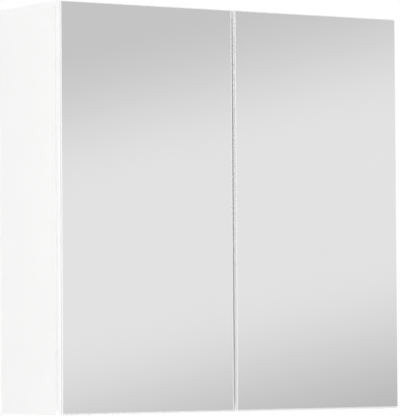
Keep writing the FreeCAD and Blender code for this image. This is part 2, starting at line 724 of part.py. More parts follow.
def cup_flange(label, side, level):
    """Flat flange on the door's rear face, with round ears for the two screws."""
    forward = ("door_gap - flange_thick", "flange_thick")
    reach = "(cup_screw_offset + ear_radius)"
    plate_in = (f"{CUP_IN} - flange_back", f"flange_back + {reach}")
    plate_tall = "2 * (cup_radius + flange_margin)"
    plate = hinge_box(f"{label}_plate", side, level, plate_in, forward, plate_tall)
    ear_in = (f"{CUP_IN} + cup_screw_offset - ear_radius", "2 * ear_radius")
    pieces = [plate, hinge_box(f"{label}_strip", side, level, ear_in, forward, "cup_screw_spacing")]
    for x, z in cup_screw_spots(side, level):
        pieces.append(rod(f"{label}_ear", "y", "ear_radius", "flange_thick", (x, ahead("door_gap"), z)))
    return pieces


def pin_lugs(label, side, level):
    """Lugs in the cup that hold the pin, one above and one below the arm's eye."""
    floor = f"(door_gap + {CUP_BODY_DEPTH})"
    start = f"({PIN_FORWARD} - eye_radius)"
    inward, forward = ("knuckle_in - eye_radius", "2 * eye_radius"), (start, f"{floor} - {start}")
    lugs = []
    for step in (-1, 1):
        middle = f"{step} * (neck_width / 2 + lug_play + lug_thick / 2)"
        lugs.append(hinge_box(f"{label}_lug", side, level, inward, forward, "lug_thick", middle))
    trimmed = doc.addObject("Part::Common", f"{label}_lugs")
    trimmed.Base = fuse(f"{label}_lug_pair", lugs)
    trimmed.Tool = cup_rod(f"{label}_lug_trim", side, level, CUP_BODY_RADIUS, "door_gap", CUP_BODY_DEPTH)
    return trimmed


def pin_rod(name, side, level, radius, length):
    """Cylinder on a hinge's axis, centred on the hinge's height."""
    low_z = f"{hinge_height(level)} - ({length}) / 2"
    return rod(name, "z", radius, length, (from_side(side, "knuckle_in"), ahead(PIN_FORWARD), low_z))


def hinge_cup(label, side, level):
    """Hinge cup let into the door board, with its flange and pin lugs."""
    shell = cup_rod(f"{label}_shell", side, level, CUP_BODY_RADIUS, "door_gap", CUP_BODY_DEPTH)
    blank = fuse(f"{label}_blank", [shell] + cup_flange(label, side, level))
    radius = f"{CUP_BODY_RADIUS} - cup_wall"
    start = f"(door_gap - flange_thick - {OVERRUN})"
    depth = f"(flange_thick + {OVERRUN} + {CUP_BODY_DEPTH} - cup_wall)"
    tools = [cup_rod(f"{label}_hollow", side, level, radius, start, depth)]
    for x, z in cup_screw_spots(side, level):
        radius, length = "cup_screw_radius + screw_play", f"flange_thick + {2 * OVERRUN}"
        tools.append(rod(f"{label}_hole", "y", radius, length, (x, ahead(f"door_gap + {OVERRUN}"), z)))
    cup = fuse(f"{label}_cup", [cut(f"{label}_open", blank, tools), pin_lugs(label, side, level)])
    bore = pin_rod(f"{label}_bore", side, level, PIN_BORE, f"{PIN_LENGTH} + {OVERRUN}")
    node(cut(label, cup, [bore]), label)


def hinge_pins(side_name, side):
    """Pins of one door's two hinges."""
    pins = [pin_rod("hinge_pin", side, level, "knuckle_radius", PIN_LENGTH) for level in LEVELS.values()]
    label = f"hinge_pins_{side_name}"
    node(group(label, pins), label)


def cup_screws(side_name, side):
    """Screws of one door's two hinge cups."""
    screws = []
    for level in LEVELS.values():
        for x, z in cup_screw_spots(side, level):
            spot = (x, ahead("door_gap + cup_screw_length"), z)
            shank = rod("cup_shank", "y", "cup_screw_radius", "cup_screw_length + flange_thick", spot)
            spot = (x, ahead("door_gap - flange_thick"), z)
            head = rod("cup_head", "y", "cup_head_radius", "cup_head_thick", spot)
            screws.append(fuse("cup_screw", [shank, head]))
    label = f"cup_screws_{side_name}"
    node(group(label, screws), label)


# Catch


def catch_screw_x(side):
    """X of a catch screw."""
    return f"{side} * catch_screw_at"


def catch_screw_hole_tools():
    """Holes for the catch screws in the top panel."""
    tools = []
    depth = f"catch_screw_grip + {OVERRUN}"
    for side in SIDES.values():
        spot = (catch_screw_x(side), ahead("-catch_depth / 2"), f"{TOP_UNDERSIDE} - {OVERRUN}")
        tools.append(rod("top_catch_hole", "z", "catch_screw_radius", depth, spot))
    return tools


def magnet_box(name, side):
    """Space of one magnet, from just in front of the housing."""
    low_x = "magnet_start" if side > 0 else "-magnet_start - magnet_width"
    low = (low_x, ahead("catch_front + magnet_proud"), f"{STRIKE_HEIGHT} - magnet_height / 2")
    return box(name, low, ("magnet_width", "magnet_depth", "magnet_height"))


def magnetic_catch():
    """Double catch under the top panel: housing, magnets and screws."""
    low = ("-catch_width / 2", ahead("catch_front"), f"{TOP_UNDERSIDE} - catch_height")
    shell = box("catch_block", low, ("catch_width", "catch_depth", "catch_height"))
    tools = []
    magnets = []
    screws = []
    under = f"({TOP_UNDERSIDE} - catch_height)"
    for side in SIDES.values():
        tools.append(magnet_box("catch_pocket", side))
        magnets.append(magnet_box("catch_magnet", side))
        x, y = catch_screw_x(side), ahead("-catch_depth / 2")
        spot, length = (x, y, f"{under} - {OVERRUN}"), f"catch_height + {2 * OVERRUN}"
        tools.append(rod("catch_hole", "z", "catch_screw_radius + screw_play", length, spot))
        length = "catch_height + catch_screw_grip"
        shank = rod("catch_shank", "z", "catch_screw_radius", length, (x, y, under))
        spot = (x, y, f"{under} - catch_head_thick")
        head = rod("catch_head", "z", "catch_head_radius", "catch_head_thick", spot)
        screws.append(fuse("catch_screw", [shank, head]))
    node(cut("catch_housing", shell, tools), "catch_housing")
    node(group("catch_magnets", magnets), "catch_magnets")
    node(group("catch_screws", screws), "catch_screws")


def strike_x(side):
    """X of a strike plate's middle, opposite its magnet."""
    return f"({side} * (magnet_start + magnet_width / 2))"


def strike_rod(name, side, radius, start, length):
    """Cylinder along Y on a strike plate's screw."""
    return rod(name, "y", radius, length, (strike_x(side), ahead(f"{start} + {length}"), STRIKE_HEIGHT))


def strike_plate(side_name, side):
    """Steel plate on the door that the magnet holds, and its sunk screw."""
    low = (
        f"{strike_x(side)} - strike_width / 2",
        ahead("door_gap"),
        f"{STRIKE_HEIGHT} - strike_height / 2",
    )
    plate = box(f"strike_{side_name}_sheet", low, ("strike_width", "strike_thick", "strike_height"))
    outer = "(door_gap - strike_thick)"
    start, length = f"{outer} - {OVERRUN}", f"strike_head_thick + {OVERRUN}"
    sink = strike_rod("strike_sink", side, "strike_head_radius", start, length)
    hole = strike_rod("strike_hole", side, "strike_screw_radius", outer, f"strike_thick + {OVERRUN}")
    label = f"strike_plate_{side_name}"
    node(cut(label, plate, [sink, hole]), label)
    head = strike_rod("strike_head", side, "strike_head_radius", outer, "strike_head_thick")
    length = "strike_thick + strike_screw_grip"
    shank = strike_rod("strike_shank", side, "strike_screw_radius", outer, length)
    label = f"strike_screw_{side_name}"
    node(fuse(label, [head, shank]), label)


# Doors


def grip_tool(label, side):
    """Square bar turned by 45 degrees, which bevels the door's rear lower edge."""
    bar = doc.addObject("Part::Box", f"{label}_grip")
    bar.Placement = Placement(Vector(), Rotation(AXES["x"], 45))
    bind(bar, "Length", f"{DOOR_WIDTH} + {2 * OVERRUN}")
    bind(bar, "Width", "grip_bevel * sqrt(2)")
    bind(bar, "Height", "grip_bevel * sqrt(2)")
    low_x = low_from_side(side, f"-{OVERRUN}", f"{DOOR_WIDTH} + {2 * OVERRUN}")
    place(bar, (low_x, ahead("door_gap"), "-height / 2 - grip_bevel"))
    return bar


def door_board(side_name, side):
    """Door board with a rounded rear edge at its hinges, a finger bevel and cup bores."""
    label = f"door_board_{side_name}"
    rear, front = ahead("door_gap"), ahead("door_gap + door_board")
    outer, inner = from_side(side, "0"), from_side(side, DOOR_WIDTH)
    corners = [(outer, front), (inner, front), (inner, rear), (outer, rear)]
    body, pad = outlined_pad(f"{label}_blank", "XY_Plane", corners, "height", both_ways=True)
    bounds = pad.Shape.BoundBox
    outer_x = bounds.XMin if side < 0 else bounds.XMax

    def at_hinges(_, mid):
        return abs(mid.x - outer_x) < SAME and abs(mid.y - bounds.YMax) < SAME

    edges = edges_where(pad, at_hinges)
    dress(body, "Fillet", f"{label}_round", pad, edges, "Radius", "hinge_edge_round")
    tools = [grip_tool(label, side)]
    for level in LEVELS.values():
        start, length = f"(door_gap - {OVERRUN})", f"(cup_depth + {OVERRUN})"
        tools.append(cup_rod(f"{label}_cup_bore", side, level, "cup_radius", start, length))
        for x, z in cup_screw_spots(side, level):
            spot, length = (x, ahead("door_gap + cup_screw_length"), z), f"cup_screw_length + {OVERRUN}"
            tools.append(rod(f"{label}_pilot", "y", "cup_screw_radius", length, spot))
    start, length = f"(door_gap - {OVERRUN})", f"(strike_screw_grip + {OVERRUN})"
    tools.append(strike_rod(f"{label}_strike_pilot", side, "strike_screw_radius", start, length))
    node(cut(label, body, tools), label)


def mirror_pane(side_name, side):
    """Mirror pane with a ground arris around its face."""
    label = f"mirror_pane_{side_name}"
    outer = from_side(side, "glass_inset")
    inner = from_side(side, f"{DOOR_WIDTH} - glass_inset")
    lower, upper = "(glass_lift - height / 2)", "(height / 2 - glass_inset)"
    corners = [(outer, lower), (inner, lower), (inner, upper), (outer, upper)]
    body, pad = outlined_pad(label, "XZ_Plane", corners, "glass_thick")
    face_y = pad.Shape.BoundBox.YMin
    edges = edges_where(pad, lambda _, mid: abs(mid.y - face_y) < SAME)
    dress(body, "Chamfer", f"{label}_arris", pad, edges, "Size", "glass_arris")
    bind(body, "Placement.Base.y", ahead(GLASS_REAR))
    node(body, label)


def mirror_film(side_name, side):
    """Adhesive film that holds the mirror on its board."""
    label = f"mirror_film_{side_name}"
    inset, lift = "(glass_inset + film_inset)", "(glass_lift + film_inset)"
    across = f"({DOOR_WIDTH} - 2 * {inset})"
    low = (low_from_side(side, inset, across), ahead(GLASS_REAR), f"{lift} - height / 2")
    node(box(label, low, (across, "film_thick", f"height - {inset} - {lift}")), label)


def door_bumpers(side_name, side):
    """Clear bumpers at the free corners of a door's rear face."""
    thick = "(door_gap - bumper_play)"
    bumpers = []
    for level in LEVELS.values():
        x = from_side(side, f"{DOOR_WIDTH} - bumper_in")
        z = f"{level} * ({TOP_UNDERSIDE} + bumper_up)"
        bumpers.append(rod("bumper", "y", "bumper_radius", thick, (x, ahead("door_gap"), z)))
    label = f"door_bumpers_{side_name}"
    node(group(label, bumpers), label)


def cabinet():
    """All the pieces of the cabinet."""
    fill_sheet()
    for side_name, side in SIDES.items():
        side_panel(side_name, side)
    cross_panel("top_panel", "upper", LEVELS["upper"], catch_screw_hole_tools())
    cross_panel("bottom_panel", "lower", LEVELS["lower"], [])
    back_panel()
    back_nails()
    hanging_rail()
    dowels()
    corner_fittings()
    for level_name, level in LEVELS.items():
        shelf(level_name, level)
    shelf_supports()
    for side_name, side in SIDES.items():
        for level_name, level in LEVELS.items():
            hinge_plate(f"hinge_plate_{side_name}_{level_name}", side, level)
            hinge_arm(f"hinge_arm_{side_name}_{level_name}", side, level)
            hinge_cup(f"hinge_cup_{side_name}_{level_name}", side, level)
        hinge_pins(side_name, side)
        cup_screws(side_name, side)
        door_board(side_name, side)
        mirror_film(side_name, side)
        mirror_pane(side_name, side)
        door_bumpers(side_name, side)
        strike_plate(side_name, side)
    hinge_screws()
    magnetic_catch()
    doc.recompute()


def check_and_write():
    """Stop on any failed object or bad shape, then write one file per sub-part."""
    for item in doc.Objects:
        if {"Invalid", "Error"} & set(item.State):
            raise RuntimeError(f"{item.Label} failed: {item.State}")
    for piece in nodes:
        if piece.Shape.isNull() or not piece.Shape.isValid() or not piece.Shape.Solids:
            raise RuntimeError(f"{piece.Label} has a bad shape")
    os.makedirs("parts", exist_ok=True)
    for piece in nodes:
        piece.Shape.exportStep(f"parts/{piece.Label}.step")
        print(piece.Label, len(piece.Shape.Solids), round(piece.Shape.Volume, 1))


cabinet()
check_and_write()
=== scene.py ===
import math

import bpy
import numpy as np
from bpy.props import FloatProperty, FloatVectorProperty, PointerProperty
from mathutils import Matrix, Vector


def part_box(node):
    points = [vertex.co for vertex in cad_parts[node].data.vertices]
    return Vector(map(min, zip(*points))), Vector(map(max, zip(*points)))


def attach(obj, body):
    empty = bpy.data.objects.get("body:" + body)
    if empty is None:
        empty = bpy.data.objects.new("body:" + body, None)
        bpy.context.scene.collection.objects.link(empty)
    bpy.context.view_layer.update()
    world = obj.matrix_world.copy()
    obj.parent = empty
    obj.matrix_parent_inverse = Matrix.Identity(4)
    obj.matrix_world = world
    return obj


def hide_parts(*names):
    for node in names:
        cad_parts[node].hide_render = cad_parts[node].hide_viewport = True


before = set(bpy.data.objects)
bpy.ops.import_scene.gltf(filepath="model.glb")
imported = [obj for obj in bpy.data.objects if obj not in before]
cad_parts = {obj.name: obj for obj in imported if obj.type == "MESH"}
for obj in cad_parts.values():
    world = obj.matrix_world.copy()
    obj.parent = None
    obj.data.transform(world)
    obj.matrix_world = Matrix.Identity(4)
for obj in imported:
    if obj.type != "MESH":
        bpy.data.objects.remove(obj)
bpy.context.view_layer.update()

bl_info = {
    "name": "Bathroom mirror cabinet",
    "version": (1, 0, 0),
    "blender": (4, 5, 0),
    "location": "View3D > Sidebar > Cabinet",
    "description": "Finishes, small fittings and studio for a wall-hung cabinet with two mirror doors",
    "category": "Object",
}

CARCASS_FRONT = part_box("side_panel_left")[0][1]
SIDES = ("left", "right")
LEVELS = ("upper", "lower")
# Points around a turned skin, and rings over its rounded top
AROUND = 64
RINGS = 20
# Corners nearer to each other than this, in metres, are one corner
SAME_CORNER = 1e-6
# CAD edges that turn by more than this are rounded
ROUNDED_EDGE = math.radians(35)
# Edges of turned skins that turn by more than this stay sharp
SHARP_EDGE = math.radians(40)
# Faces whose normals rise by less than this stand upright
UPRIGHT = 0.5
# How strongly light bends in glass and in clear rubber
GLASS_IOR = 1.52
RUBBER_IOR = 1.42
# Screws on the carcass that show: the way their heads face, thickness of a head, radius of a shank
CARCASS_SCREWS = {
    "hinge_plate_screws": ((1, 0, 0), 0.0022, 0.0025),
    "hinge_clamp_screws": ((1, 0, 0), 0.0022, 0.002),
    "hinge_adjusters": ((1, 0, 0), 0.0015, 0.0024),
    "catch_screws": ((0, 0, -1), 0.0015, 0.0015),
}
# The same for the screws on each door
DOOR_SCREWS = {
    "cup_screws": ((0, 1, 0), 0.0016, 0.0017),
    "strike_screw": ((0, 1, 0), 0.0006, 0.0012),
}


def colour(name, description, default):
    """Colour of a finish."""
    return FloatVectorProperty(
        name=name, description=description, subtype="COLOR", size=3, min=0.0, max=1.0, default=default
    )


def length(name, description, default):
    """Length in metres."""
    return FloatProperty(name=name, description=description, unit="LENGTH", precision=5, default=default)


def angle(name, description, degrees):
    """Angle, given in degrees."""
    turn = math.radians(degrees)
    return FloatProperty(name=name, description=description, subtype="ANGLE", default=turn)


def share(name, description, default):
    """Plain number without a unit."""
    return FloatProperty(name=name, description=description, default=default)


def position(name, description, default):
    """Place in metres."""
    return FloatVectorProperty(
        name=name, description=description, subtype="TRANSLATION", size=3, default=default
    )


class CabinetFinishes(bpy.types.PropertyGroup):
    """Colours of the cabinet's materials."""

    melamine: colour("Melamine", "Boards of the carcass", (0.93, 0.93, 0.925))
    lacquer: colour("Lacquer", "Door boards", (0.94, 0.94, 0.935))
    hardboard: colour("Hardboard", "Bare rear face of the back panel", (0.24, 0.14, 0.075))
    beech: colour("Beech", "Dowels", (0.5, 0.3, 0.15))
    silver: colour("Silver", "Mirror coat", (0.9, 0.905, 0.9))
    ground_glass: colour("Ground glass", "Edges of the mirrors", (0.84, 0.85, 0.845))
    # The darker rear of the mirrors' edges is back paint in part and painted shade in part
    edge_paint_and_shade: colour("Mirror paint", "Rear part of those edges", (0.66, 0.67, 0.665))
    shelf_glass: colour("Shelf glass", "Clear shelves", (0.95, 0.985, 0.97))
    shelf_edge: colour("Shelf edge", "Edges of the shelves", (0.33, 0.56, 0.48))
    nickel: colour("Nickel", "Hinges", (0.62, 0.6, 0.57))
    zinc: colour("Zinc", "Screws, pins and strike plates", (0.55, 0.56, 0.58))
    plastic: colour("Plastic", "Catch housing and cover caps", (0.86, 0.86, 0.85))
    rubber: colour("Rubber", "Clear pads and bumpers", (0.86, 0.87, 0.87))
    ferrite: colour("Ferrite", "Magnets", (0.035, 0.035, 0.038))
    film: colour("Film", "Adhesive film behind the mirrors", (0.45, 0.45, 0.46))


class CabinetDetails(bpy.types.PropertyGroup):
    """Sizes of the small details."""

    board_round: length("Board rounding", "Rounded edges of the boards", 0.0006)
    metal_round: length("Metal rounding", "Rounded edges of the fittings", 0.0003)
    edge_band: length("Edge band", "Thickness of the band on the boards' front edges", 0.0008)
    band_joint: length("Band joint", "Half the width of the line beside that band", 0.0001)
    joint_shade: share("Joint shade", "Lightness of that line, as a share of the board's", 0.8)
    face_end: length("Face end", "Place along Y where the back panel's white face ends", -0.0022)
    bare_start: length("Bare start", "Place along Y where its bare rear starts", -0.0018)
    ground_start: length("Ground start", "Depth in a mirror at which its ground edge starts", 0.00002)
    ground_full: length("Ground full", "Depth at which that edge is all ground", 0.00008)
    # This rim is painted: the ground end face as it shows through the glass from the left, put on the
    # left pane's face
    refraction_rim: length("Mirror rim", "Ground rim beside the left mirror's closing edge", 0.0022)
    # That darker rear is back paint in part and painted shade of the dark line at the back of the edge in
    # part
    paint_and_shade_reach: length("Paint reach", "Rear part of the mirrors' edges that is painted", 0.0013)
    head_round: share("Head rounding", "Fall of a screw head's dome, as a share of its thickness", 0.4)
    drive_length: share("Cross length", "Half the cross in a screw head, as a share of its radius", 0.56)
    drive_width: share("Cross width", "Half the width of its bars, as a share of the radius", 0.13)
    drive_depth: share("Cross depth", "Depth of the cross, as a share of the head's thickness", 0.55)
    drive_soft: share("Cross softness", "Width of the cross's slopes, as a share of the radius", 0.08)
    bumper_power: share("Bumper fullness", "Power of the curve of a bumper's dome, fuller below 1", 0.8)


class CabinetStudio(bpy.types.PropertyGroup):
    """Camera, lamps and surround."""

    camera_place: position("Camera", "Place of the camera", (-2.669, -4.195, -0.178))
    camera_yaw: angle("Yaw", "Turn of the camera to the right", 32.987)
    camera_pitch: angle("Pitch", "Tilt of the camera upwards", 2.162)
    camera_roll: angle("Roll", "Turn of the camera about its view", -0.353)
    camera_lens: FloatProperty(
        name="Lens", description="Focal length of the lens", subtype="DISTANCE_CAMERA", default=279.95
    )
    camera_film: FloatProperty(
        name="Film", description="Longer side of the film", subtype="DISTANCE_CAMERA", default=36.0
    )
    camera_reach: length("Reach", "Farthest distance that the camera sees", 200.0)
    floor_height: length("Floor", "Height of the floor", -1.25)
    floor_reach: length("Floor reach", "Half the floor's width", 20.0)
    floor_paint: colour("Floor paint", "Plain pale floor", (0.95, 0.95, 0.95))
    ambient: share("Ambient", "Light from all round", 0.22)
    key_power: FloatProperty(
        name="Key lamp", description="Power of the soft lamp", unit="POWER", default=153.0
    )
    key_place: position("Key place", "Place of the soft lamp", (-3.49, -3.62, 0.8))
    key_size: length("Key size", "Width of the soft lamp", 3.0)
    top_light: share("Top light", "Strength of the soft light from above", 1.85)
    top_spread: angle("Top spread", "Width of the light from above", 60.0)
    top_place: position("Top place", "Place that the light from above comes from", (0.0, 0.0, 5.0))
    band_light: share("Band", "Light of the surround at eye level, which the mirrors show", 0.843)
    band_above: share("Above", "Light of the surround above that band", 0.613)
    band_below: share("Below", "Light of the surround below that band", 0.497)
    band_top: share("Band top", "Height at which the light starts to fall, as a sine", 0.0504)
    band_top_end: share("Band top end", "Height at which it has fallen", 0.0987)
    band_base: share("Band base", "Height at which the light has risen", 0.0096)
    band_base_end: share("Band base end", "Height at which it starts to rise", -0.0508)
    band_tilt: share("Band tilt", "Slope of the band across the front", 0.23)
    band_turn: share("Band turn", "Reach of that slope to each side, as a sine", 0.08)


# Node helpers


def new_material(name):
    """Material with a node tree, and its main shader."""
    material = bpy.data.materials.new(name)
    material.use_nodes = True
    return material, material.node_tree, material.node_tree.nodes["Principled BSDF"]


def connect(tree, value, socket):
    """Link an output to a socket, or set a plain value on it."""
    if isinstance(value, bpy.types.NodeSocket):
        tree.links.new(value, socket)
    else:
        socket.default_value = value


def add(tree, kind, inputs, **settings):
    """Node of a kind, with its settings, and its inputs linked or set."""
    node = tree.nodes.new(kind)
    for key, value in settings.items():
        setattr(node, key, value)
    for key, value in inputs.items():
        connect(tree, value, node.inputs[key])
    return node


def finish(tree, shader, **inputs):
    """Link or set the shader's inputs, whose names are written with underscores."""
    for key, value in inputs.items():
        connect(tree, value, shader.inputs[key.replace("_", " ").title()])


def maths(tree, operation, *values):
    """Result of one calculation on numbers or sockets."""
    return add(tree, "ShaderNodeMath", dict(enumerate(values)), operation=operation).outputs["Value"]


def object_place(tree):
    """Object coordinates, in metres."""
    return add(tree, "ShaderNodeTexCoord", {}).outputs["Object"]


def apart(tree, place):
    """X, Y and Z of a place."""
    return add(tree, "ShaderNodeSeparateXYZ", {"Vector": place}).outputs


def noise(tree, place, scale, detail=3.0, roughness=0.5):
    """Noise whose grains are about one metre over scale wide."""
    inputs = {"Vector": place, "Scale": scale, "Detail": detail, "Roughness": roughness}
    return add(tree, "ShaderNodeTexNoise", inputs).outputs["Fac"]


def stretched(tree, place, scale):
    """Coordinates multiplied along each axis."""
    return add(tree, "ShaderNodeMapping", {"Vector": place, "Scale": scale}).outputs["Vector"]


def ramp(tree, value, start, end, low, high, kind="LINEAR"):
    """Value from start to end carried over to low to high."""
    inputs = {"Value": value, "From Min": start, "From Max": end, "To Min": low, "To Max": high}
    return add(tree, "ShaderNodeMapRange", inputs, interpolation_type=kind).outputs["Result"]


def grains(tree, value, low, high):
    """The middle of a noise's range carried over to low to high."""
    return ramp(tree, value, 0.3, 0.7, low, high)


def blended(tree, amount, first, second):
    """Colour from the first to the second as the amount goes from 0 to 1."""
    inputs = {"Factor": amount, "A": first, "B": second}
    return add(tree, "ShaderNodeMix", inputs, data_type="RGBA").outputs["Result"]


def chosen(tree, switch, off, on):
    """Number from off to on as the switch goes from 0 to 1."""
    inputs = {"Factor": switch, "A": off, "B": on}
    return add(tree, "ShaderNodeMix", inputs, data_type="FLOAT").outputs["Result"]


def shades(tree, value, tint, depth):
    """The tint, darker by up to a share of itself where a noise is low."""
    dark = (*(channel * (1 - depth) for channel in tint), 1)
    return blended(tree, grains(tree, value, 0.0, 1.0), dark, (*tint, 1))


def relief(tree, height, strength, depth):
    """Normal of a fine relief."""
    inputs = {"Height": height, "Strength": strength, "Distance": depth}
    return add(tree, "ShaderNodeBump", inputs).outputs["Normal"]


def dress(material, *names):
    """Give CAD nodes a material."""
    for name in names:
        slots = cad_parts[name].data.materials
        slots.clear()
        slots.append(material)


def soften(width, *names):
    """Small rounded edges on CAD nodes."""
    for name in names:
        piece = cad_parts[name]
        piece.modifiers.new("joined", "WELD").merge_threshold = SAME_CORNER
        bevel = piece.modifiers.new("soft_edges", "BEVEL")
        bevel.width = width
        bevel.segments = 2
        bevel.limit_method = "ANGLE"
        bevel.angle_limit = ROUNDED_EDGE
        bevel.loop_slide = False


# Materials


def pearl_melamine(tint, details):
    """Satin melamine with a fine pearl texture and a hairline beside the front edge band."""
    material, tree, shader = new_material("pearl_melamine")
    place = object_place(tree)
    pearl = noise(tree, place, scale=900.0)
    joint_line = CARCASS_FRONT + details.edge_band
    joint = maths(tree, "COMPARE", apart(tree, place)["Y"], joint_line, details.band_joint)
    white = shades(tree, noise(tree, place, scale=14.0), tint, depth=0.012)
    shaded = tuple(channel * details.joint_shade for channel in tint)
    finish(
        tree,
        shader,
        base_color=blended(tree, joint, white, (*shaded, 1)),
        roughness=grains(tree, pearl, low=0.38, high=0.48),
        normal=relief(tree, pearl, strength=0.12, depth=0.0002),
    )
    return material


def satin_lacquer(tint):
    """Sprayed lacquer with a faint orange peel."""
    material, tree, shader = new_material("satin_lacquer")
    place = object_place(tree)
    peel = noise(tree, place, scale=350.0, detail=1.0)
    finish(
        tree,
        shader,
        base_color=shades(tree, noise(tree, place, scale=9.0), tint, depth=0.01),
        roughness=grains(tree, peel, low=0.28, high=0.34),
        normal=relief(tree, peel, strength=0.05, depth=0.0002),
    )
    return material


def faced_hardboard(face_tint, bare_tint, details):
    """White face towards the inside, bare brown fibres with a screen pattern at the rear."""
    material, tree, shader = new_material("faced_hardboard")
    place = object_place(tree)
    drawn_out = stretched(tree, place, (260.0, 260.0, 700.0))
    fibres = noise(tree, drawn_out, scale=1.0, detail=6.0, roughness=0.7)
    inputs = {"Vector": place, "Scale": 160.0, "Distortion": 1.5}
    weave = add(tree, "ShaderNodeTexWave", inputs, bands_direction="DIAGONAL").outputs["Fac"]
    rear = ramp(tree, apart(tree, place)["Y"], details.face_end, details.bare_start, 0.0, 1.0)
    finish(
        tree,
        shader,
        base_color=blended(tree, rear, (*face_tint, 1), shades(tree, fibres, bare_tint, depth=0.55)),
        roughness=chosen(tree, rear, off=0.4, on=0.85),
        normal=relief(tree, weave, strength=0.15, depth=0.0004),
    )
    return material


def plain_beech(tint):
    """Straight-grained beech, its grain along X."""
    material, tree, shader = new_material("plain_beech")
    drawn_out = stretched(tree, object_place(tree), (60.0, 900.0, 900.0))
    grain = noise(tree, drawn_out, scale=1.0, detail=5.0)
    finish(
        tree,
        shader,
        base_color=shades(tree, grain, tint, depth=0.35),
        roughness=grains(tree, grain, low=0.5, high=0.7),
        normal=relief(tree, grain, strength=0.2, depth=0.0002),
    )
    return material


def mirror_glass(finishes, details):
    """Silvered glass: a mirror on the face, ground edges, and a darker rear part of the edges.
    That darker rear is back paint in part and painted shade in part.

    The arris is ground too. A narrow rim along the left pane's closing edge is a painted view through the
    glass:
    the ground end face as it shows from the left, painted onto the left pane's face only.
    """
    material, tree, shader = new_material("mirror_glass")
    lowest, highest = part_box("mirror_pane_left")
    face, rear, closing_edge = lowest[1], highest[1], highest[0]
    place = object_place(tree)
    across, depth, _ = apart(tree, place)
    edge_part = ramp(tree, depth, face + details.ground_start, face + details.ground_full, 0.0, 1.0)
    # Painted view through the glass: a pale rim beside the left pane's closing edge, where the ground end
    # face shows from the left
    rim = maths(tree, "COMPARE", across, closing_edge, details.refraction_rim)
    ground = maths(tree, "MAXIMUM", edge_part, rim)
    silver = shades(tree, noise(tree, place, scale=5.0, detail=2.0), finishes.silver, depth=0.008)
    speckle = noise(tree, place, scale=1500.0)
    clear_edge = shades(tree, speckle, finishes.ground_glass, depth=0.06)
    # Darker rear part of the edges: back paint in part, painted shade of the dark line at the back of the
    # edge in part
    painted = maths(tree, "COMPARE", depth, rear, details.paint_and_shade_reach)
    paint_and_shade_edge = shades(tree, speckle, finishes.edge_paint_and_shade, depth=0.06)
    edge = blended(tree, painted, clear_edge, paint_and_shade_edge)
    finish(
        tree,
        shader,
        base_color=blended(tree, ground, silver, edge),
        metallic=chosen(tree, ground, off=1.0, on=0.0),
        roughness=chosen(tree, ground, off=0.0, on=0.35),
    )
    return material


def clear_shelf(tint, edge_tint):
    """Clear float glass, green where a face stands upright."""
    material, tree, shader = new_material("clear_shelf")
    place = object_place(tree)
    facing = add(tree, "ShaderNodeNewGeometry", {}).outputs["True Normal"]
    edge = maths(tree, "LESS_THAN", maths(tree, "ABSOLUTE", apart(tree, facing)["Z"]), UPRIGHT)
    layers = noise(tree, stretched(tree, place, (20.0, 20.0, 600.0)), scale=1.0)
    green = shades(tree, layers, edge_tint, depth=0.25)
    finish(
        tree,
        shader,
        base_color=blended(tree, edge, (*tint, 1), green),
        transmission_weight=chosen(tree, edge, off=1.0, on=0.25),
        roughness=grains(tree, noise(tree, place, scale=25.0), low=0.0, high=0.03),
    )
    shader.inputs["IOR"].default_value = GLASS_IOR
    return material


def plated_metal(name, tint, smooth, dull, scale):
    """Plated steel with a drifting shine and fine lines."""
    material, tree, shader = new_material(name)
    place = object_place(tree)
    drift = noise(tree, place, scale)
    lines = noise(tree, stretched(tree, place, (4000.0, 300.0, 4000.0)), scale=1.0, detail=2.0)
    finish(
        tree,
        shader,
        base_color=shades(tree, drift, tint, depth=0.12),
        metallic=1.0,
        roughness=grains(tree, drift, low=smooth, high=dull),
        normal=relief(tree, lines, strength=0.04, depth=0.0001),
    )
    return material


def moulded(name, tint, smooth, dull, scale):
    """Moulded plastic, film, ferrite or paint with a fine spark texture."""
    material, tree, shader = new_material(name)
    spark = noise(tree, object_place(tree), scale)
    finish(
        tree,
        shader,
        base_color=shades(tree, spark, tint, depth=0.04),
        roughness=grains(tree, spark, low=smooth, high=dull),
        normal=relief(tree, spark, strength=0.1, depth=0.0001),
    )
    return material


def clear_rubber(tint):
    """Clear soft plastic, a little cloudy."""
    material, tree, shader = new_material("clear_rubber")
    cloud = noise(tree, object_place(tree), scale=600.0)
    finish(
        tree,
        shader,
        base_color=shades(tree, cloud, tint, depth=0.05),
        transmission_weight=0.6,
        roughness=grains(tree, cloud, low=0.15, high=0.3),
    )
    shader.inputs["IOR"].default_value = RUBBER_IOR
    return material


# Turned skins


def solids_of(name):
    """Lowest and highest corners of each separate solid of a CAD node.

    Every corner takes the lowest number found among the triangles it belongs to, until none changes.
    """
    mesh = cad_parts[name].data
    places = np.empty(len(mesh.vertices) * 3)
    mesh.vertices.foreach_get("co", places)
    places = places.reshape(-1, 3)
    corners = np.empty(len(mesh.loops), dtype=int)
    mesh.loops.foreach_get("vertex_index", corners)
    _, merged = np.unique((places / SAME_CORNER).round(), axis=0, return_inverse=True)
    merged = merged.reshape(-1)
    triangles = merged[corners].reshape(-1, 3)
    number = np.arange(merged.max() + 1)
    settled = False
    while not settled:
        lower = number.copy()
        np.minimum.at(lower, triangles, number[triangles].min(axis=1, keepdims=True))
        settled = np.array_equal(lower, number)
        number = lower
    groups = [places[number[merged] == label] for label in np.unique(number)]
    return [(group.min(axis=0), group.max(axis=0)) for group in groups]


def smooth_step(value):
    """Smooth rise from 0 to 1: three times the square less twice the cube."""
    part = np.clip(value, 0.0, 1.0)
    return part * part * (3 - 2 * part)


def turned(radii, heights):
    """Rings about +Z: each radius carried round a circle, at its height."""
    turn = np.linspace(0.0, 2 * np.pi, AROUND, endpoint=False)
    up = np.broadcast_to(heights[:, None], (len(radii), AROUND))
    return np.stack([radii[:, None] * np.cos(turn), radii[:, None] * np.sin(turn), up], axis=-1)


